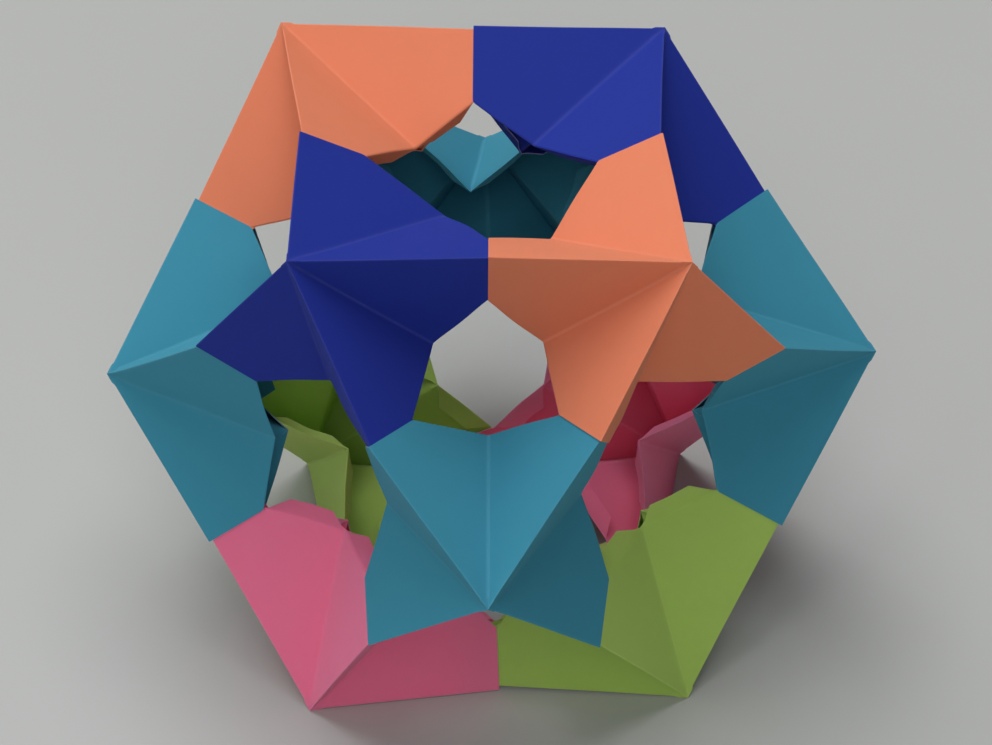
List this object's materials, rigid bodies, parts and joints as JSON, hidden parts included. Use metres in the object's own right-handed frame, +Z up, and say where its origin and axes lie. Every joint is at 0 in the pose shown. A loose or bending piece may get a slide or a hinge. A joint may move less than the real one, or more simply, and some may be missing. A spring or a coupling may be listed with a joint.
{
  "type": "kusudama paper ball",
  "caption": "Open paper ball of interlocked folded sheets, one at each corner of a cuboctahedron, with sunken valleys and windows in every face.",
  "frame": {"origin": "on the table, below the middle of the ball, which stands on one of its square faces", "axes": "+Z up; the front, with the triangle face that the picture looks at, towards -Y; +X to its right"},
  "size_m": [0.1736, 0.175, 0.1277],
  "materials": {
    "orange_paper": "matt coloured paper, the same on both sides",
    "deep_blue_paper": "matt coloured paper, the same on both sides",
    "light_blue_paper": "matt coloured paper, the same on both sides",
    "pink_paper": "matt coloured paper, the same on both sides",
    "green_paper": "matt coloured paper, the same on both sides"
  },
  "bodies": {
    "root": {"top_back_left_sheet": "orange_paper", "top_back_right_sheet": "deep_blue_paper", "top_front_left_sheet": "deep_blue_paper", "top_front_right_sheet": "orange_paper", "middle_left_sheet": "light_blue_paper", "middle_front_sheet": "light_blue_paper", "middle_right_sheet": "light_blue_paper", "middle_back_sheet": "light_blue_paper", "bottom_front_left_sheet": "pink_paper", "bottom_front_right_sheet": "green_paper", "bottom_back_left_sheet": "green_paper", "bottom_back_right_sheet": "pink_paper"}
  },
  "joints": []
}
